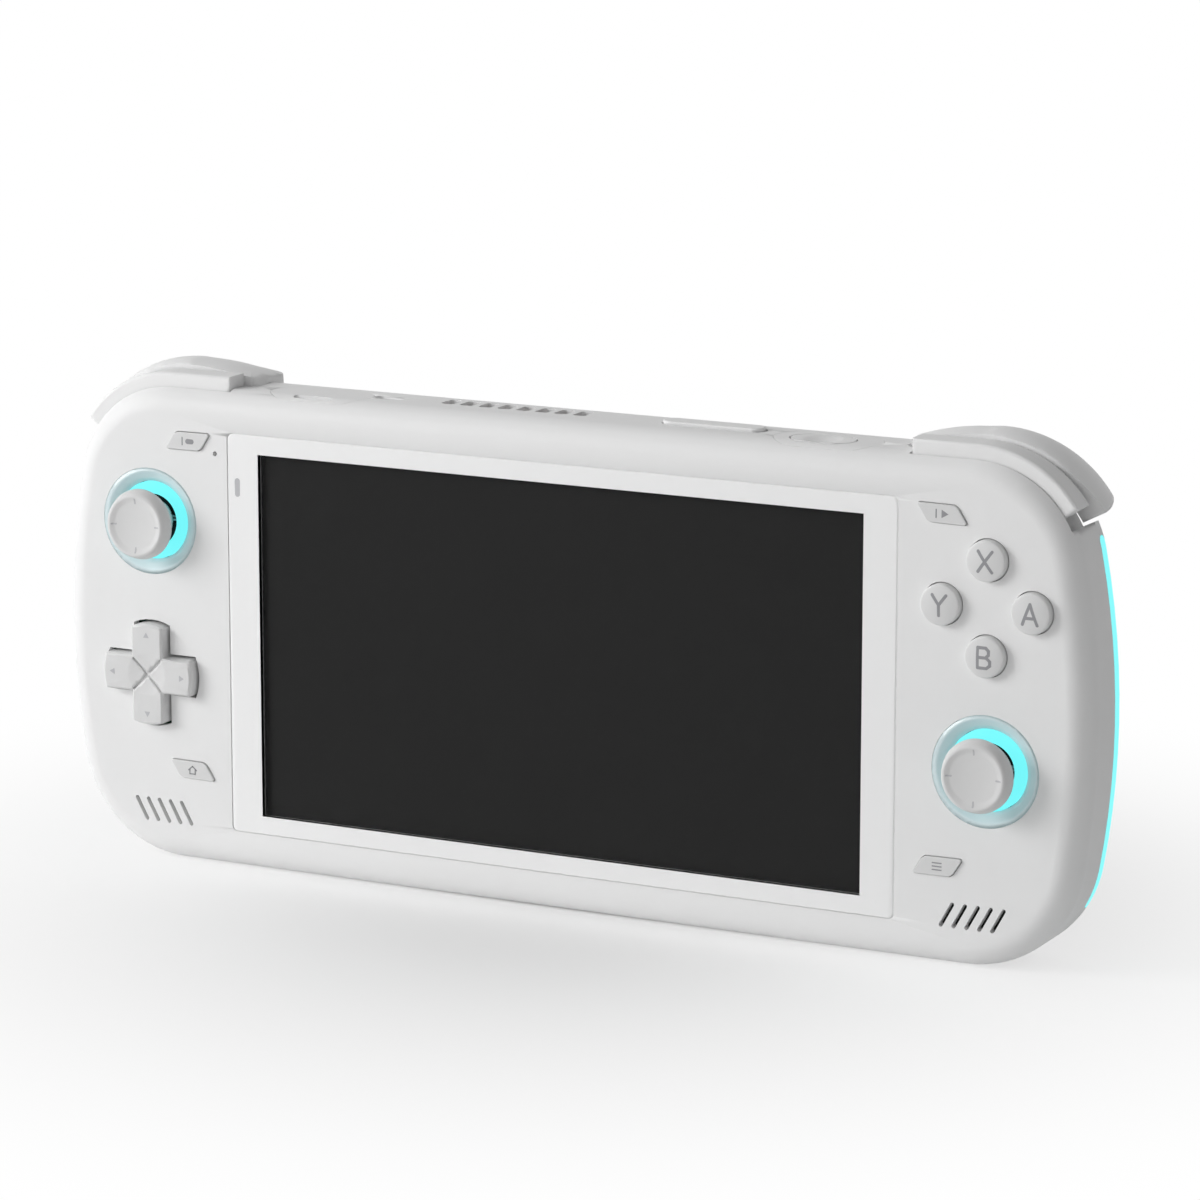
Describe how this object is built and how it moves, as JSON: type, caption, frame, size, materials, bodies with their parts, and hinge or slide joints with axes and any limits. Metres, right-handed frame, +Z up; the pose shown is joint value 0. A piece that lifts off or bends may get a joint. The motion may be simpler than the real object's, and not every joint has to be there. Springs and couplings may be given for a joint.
{
  "type": "handheld game console",
  "caption": "White handheld game console with a wide dark screen, thumb sticks in lit rings, direction pad, round buttons, bumpers, triggers and light strips.",
  "frame": {"origin": "middle of the flat bottom edge that it stands on, halfway through the body's depth", "axes": "+X to the right seen from the front, -Y out of the screen, +Z up"},
  "size_m": [0.226, 0.0288, 0.1028],
  "materials": {
    "white_shell": "matte moulded",
    "white_trigger": "matte moulded",
    "white_trim": "matte moulded",
    "white_buttons": "satin",
    "white_neck": "satin",
    "soft_cap": "soft touch",
    "clear_glass": "polished",
    "white_bezel": "printed",
    "dark_screen": "smooth",
    "die_cast_metal": "cast",
    "clear_lens": "frosted",
    "lit_ring": "lit",
    "lit_strip": "lit",
    "pin_steel": "turned",
    "inner_black": "matte",
    "silicone": "smooth",
    "circuit_board": "coated",
    "port_metal": "plated",
    "battery_wrap": "wrapped",
    "sink_copper": "plain"
  },
  "bodies": {
    "console": {"front_shell": "white_shell", "rear_shell": "white_shell", "power_panel": "white_trim", "cover_glass": "clear_glass", "bezel_frame": "white_bezel", "display_panel": "dark_screen", "mid_frame": "die_cast_metal", "left_ring_lens": "clear_lens", "right_ring_lens": "clear_lens", "left_light_ring": "lit_ring", "right_light_ring": "lit_ring", "left_light_strip": "lit_strip", "right_light_strip": "lit_strip", "left_stick_module": "inner_black", "right_stick_module": "inner_black", "face_button_membrane": "silicone", "pad_membrane": "silicone", "left_control_board": "circuit_board", "right_control_board": "circuit_board", "main_board": "circuit_board", "left_shoulder_pins": "pin_steel", "right_shoulder_pins": "pin_steel", "rear_screws": "pin_steel", "charging_port": "port_metal", "headphone_jack": "inner_black", "shield_can": "port_metal", "card_socket": "port_metal", "battery": "battery_wrap", "left_speaker": "inner_black", "right_speaker": "inner_black", "fan_housing": "inner_black", "heat_sink": "sink_copper"},
    "a_button": {"a_button": "white_buttons"},
    "b_button": {"b_button": "white_buttons"},
    "x_button": {"x_button": "white_buttons"},
    "y_button": {"y_button": "white_buttons"},
    "select_button": {"select_button": "white_buttons"},
    "start_button": {"start_button": "white_buttons"},
    "home_button": {"home_button": "white_buttons"},
    "menu_button": {"menu_button": "white_buttons"},
    "pad_pivot": {"pad_pivot": "inner_black"},
    "direction_pad": {"direction_pad": "white_buttons"},
    "left_cradle": {"left_stick_cradle": "inner_black"},
    "left_cross_pin": {"left_stick_cross_pin": "pin_steel"},
    "left_stick": {"left_stick_shaft": "white_neck", "left_stick_cap": "soft_cap"},
    "right_cradle": {"right_stick_cradle": "inner_black"},
    "right_cross_pin": {"right_stick_cross_pin": "pin_steel"},
    "right_stick": {"right_stick_shaft": "white_neck", "right_stick_cap": "soft_cap"},
    "left_bumper": {"left_bumper": "white_shell"},
    "left_trigger": {"left_trigger": "white_trigger"},
    "right_bumper": {"right_bumper": "white_shell"},
    "right_trigger": {"right_trigger": "white_trigger"},
    "volume_rocker": {"volume_rocker": "white_trim"},
    "power_button": {"power_button": "white_trim"},
    "card_door": {"card_door": "white_trim"},
    "fan_rotor": {"fan_rotor": "inner_black"}
  },
  "joints": [
    {"name": "a_press", "type": "slide", "parent": "console", "child": "a_button", "axis": [0, 1, 0], "range_m": [0, 0.001], "stiffness_N_per_m": 200},
    {"name": "b_press", "type": "slide", "parent": "console", "child": "b_button", "axis": [0, 1, 0], "range_m": [0, 0.001], "stiffness_N_per_m": 200},
    {"name": "x_press", "type": "slide", "parent": "console", "child": "x_button", "axis": [0, 1, 0], "range_m": [0, 0.001], "stiffness_N_per_m": 200},
    {"name": "y_press", "type": "slide", "parent": "console", "child": "y_button", "axis": [0, 1, 0], "range_m": [0, 0.001], "stiffness_N_per_m": 200},
    {"name": "select_press", "type": "slide", "parent": "console", "child": "select_button", "axis": [0, 1, 0], "range_m": [0, 0.0004], "stiffness_N_per_m": 200},
    {"name": "start_press", "type": "slide", "parent": "console", "child": "start_button", "axis": [0, 1, 0], "range_m": [0, 0.0004], "stiffness_N_per_m": 200},
    {"name": "home_press", "type": "slide", "parent": "console", "child": "home_button", "axis": [0, 1, 0], "range_m": [0, 0.0004], "stiffness_N_per_m": 200},
    {"name": "menu_press", "type": "slide", "parent": "console", "child": "menu_button", "axis": [0, 1, 0], "range_m": [0, 0.0004], "stiffness_N_per_m": 200},
    {"name": "pad_up_down", "type": "hinge", "parent": "console", "child": "pad_pivot", "pos_m": [-0.09199, -0.00458, 0.03918], "axis": [1, 0, 0], "range_deg": [-3.5, 3.5], "stiffness_Nm_per_rad": 0.05},
    {"name": "pad_left_right", "type": "hinge", "parent": "pad_pivot", "child": "direction_pad", "pos_m": [-0.09199, -0.00458, 0.03918], "axis": [0, 0, 1], "range_deg": [-3.5, 3.5], "stiffness_Nm_per_rad": 0.05},
    {"name": "left_stick_click", "type": "slide", "parent": "console", "child": "left_cradle", "axis": [0, 1, 0], "range_m": [0, 0.0004], "stiffness_N_per_m": 600},
    {"name": "left_stick_up_down", "type": "hinge", "parent": "left_cradle", "child": "left_cross_pin", "pos_m": [-0.09199, -0.0035, 0.07077], "axis": [1, 0, 0], "range_deg": [-15, 15], "stiffness_Nm_per_rad": 0.02},
    {"name": "left_stick_left_right", "type": "hinge", "parent": "left_cross_pin", "child": "left_stick", "pos_m": [-0.09199, -0.0035, 0.07077], "axis": [0, 0, 1], "range_deg": [-15, 15], "stiffness_Nm_per_rad": 0.02},
    {"name": "right_stick_click", "type": "slide", "parent": "console", "child": "right_cradle", "axis": [0, 1, 0], "range_m": [0, 0.0004], "stiffness_N_per_m": 600},
    {"name": "right_stick_up_down", "type": "hinge", "parent": "right_cradle", "child": "right_cross_pin", "pos_m": [0.09199, -0.0035, 0.03918], "axis": [1, 0, 0], "range_deg": [-15, 15], "stiffness_Nm_per_rad": 0.02},
    {"name": "right_stick_left_right", "type": "hinge", "parent": "right_cross_pin", "child": "right_stick", "pos_m": [0.09199, -0.0035, 0.03918], "axis": [0, 0, 1], "range_deg": [-15, 15], "stiffness_Nm_per_rad": 0.02},
    {"name": "left_bumper_press", "type": "hinge", "parent": "console", "child": "left_bumper", "pos_m": [-0.07722, -0.0025, 0.09595], "axis": [0, -1, 0], "range_deg": [0, 1.4], "stiffness_Nm_per_rad": 0.6},
    {"name": "left_trigger_pull", "type": "hinge", "parent": "console", "child": "left_trigger", "pos_m": [-0.074, 0.0032, 0.097], "axis": [-1, 0, 0], "range_deg": [0, 12], "stiffness_Nm_per_rad": 0.06},
    {"name": "right_bumper_press", "type": "hinge", "parent": "console", "child": "right_bumper", "pos_m": [0.07722, -0.0025, 0.09595], "axis": [0, 1, 0], "range_deg": [0, 1.4], "stiffness_Nm_per_rad": 0.6},
    {"name": "right_trigger_pull", "type": "hinge", "parent": "console", "child": "right_trigger", "pos_m": [0.074, 0.0032, 0.097], "axis": [-1, 0, 0], "range_deg": [0, 12], "stiffness_Nm_per_rad": 0.06},
    {"name": "volume_rock", "type": "hinge", "parent": "console", "child": "volume_rocker", "pos_m": [0.0304, 0.0013, 0.0981], "axis": [0, 1, 0], "range_deg": [-2.5, 2.5], "stiffness_Nm_per_rad": 0.1},
    {"name": "power_press", "type": "slide", "parent": "console", "child": "power_button", "axis": [0, 0, -1], "range_m": [0, 0.0004], "stiffness_N_per_m": 300},
    {"name": "card_door_pull", "type": "slide", "parent": "console", "child": "card_door", "axis": [0, 0, 1], "range_m": [0, 0.006]},
    {"name": "fan_spin", "type": "hinge", "parent": "console", "child": "fan_rotor", "pos_m": [-0.01325, 0.0018, 0.0689], "axis": [0, 1, 0], "continuous": true}
  ]
}
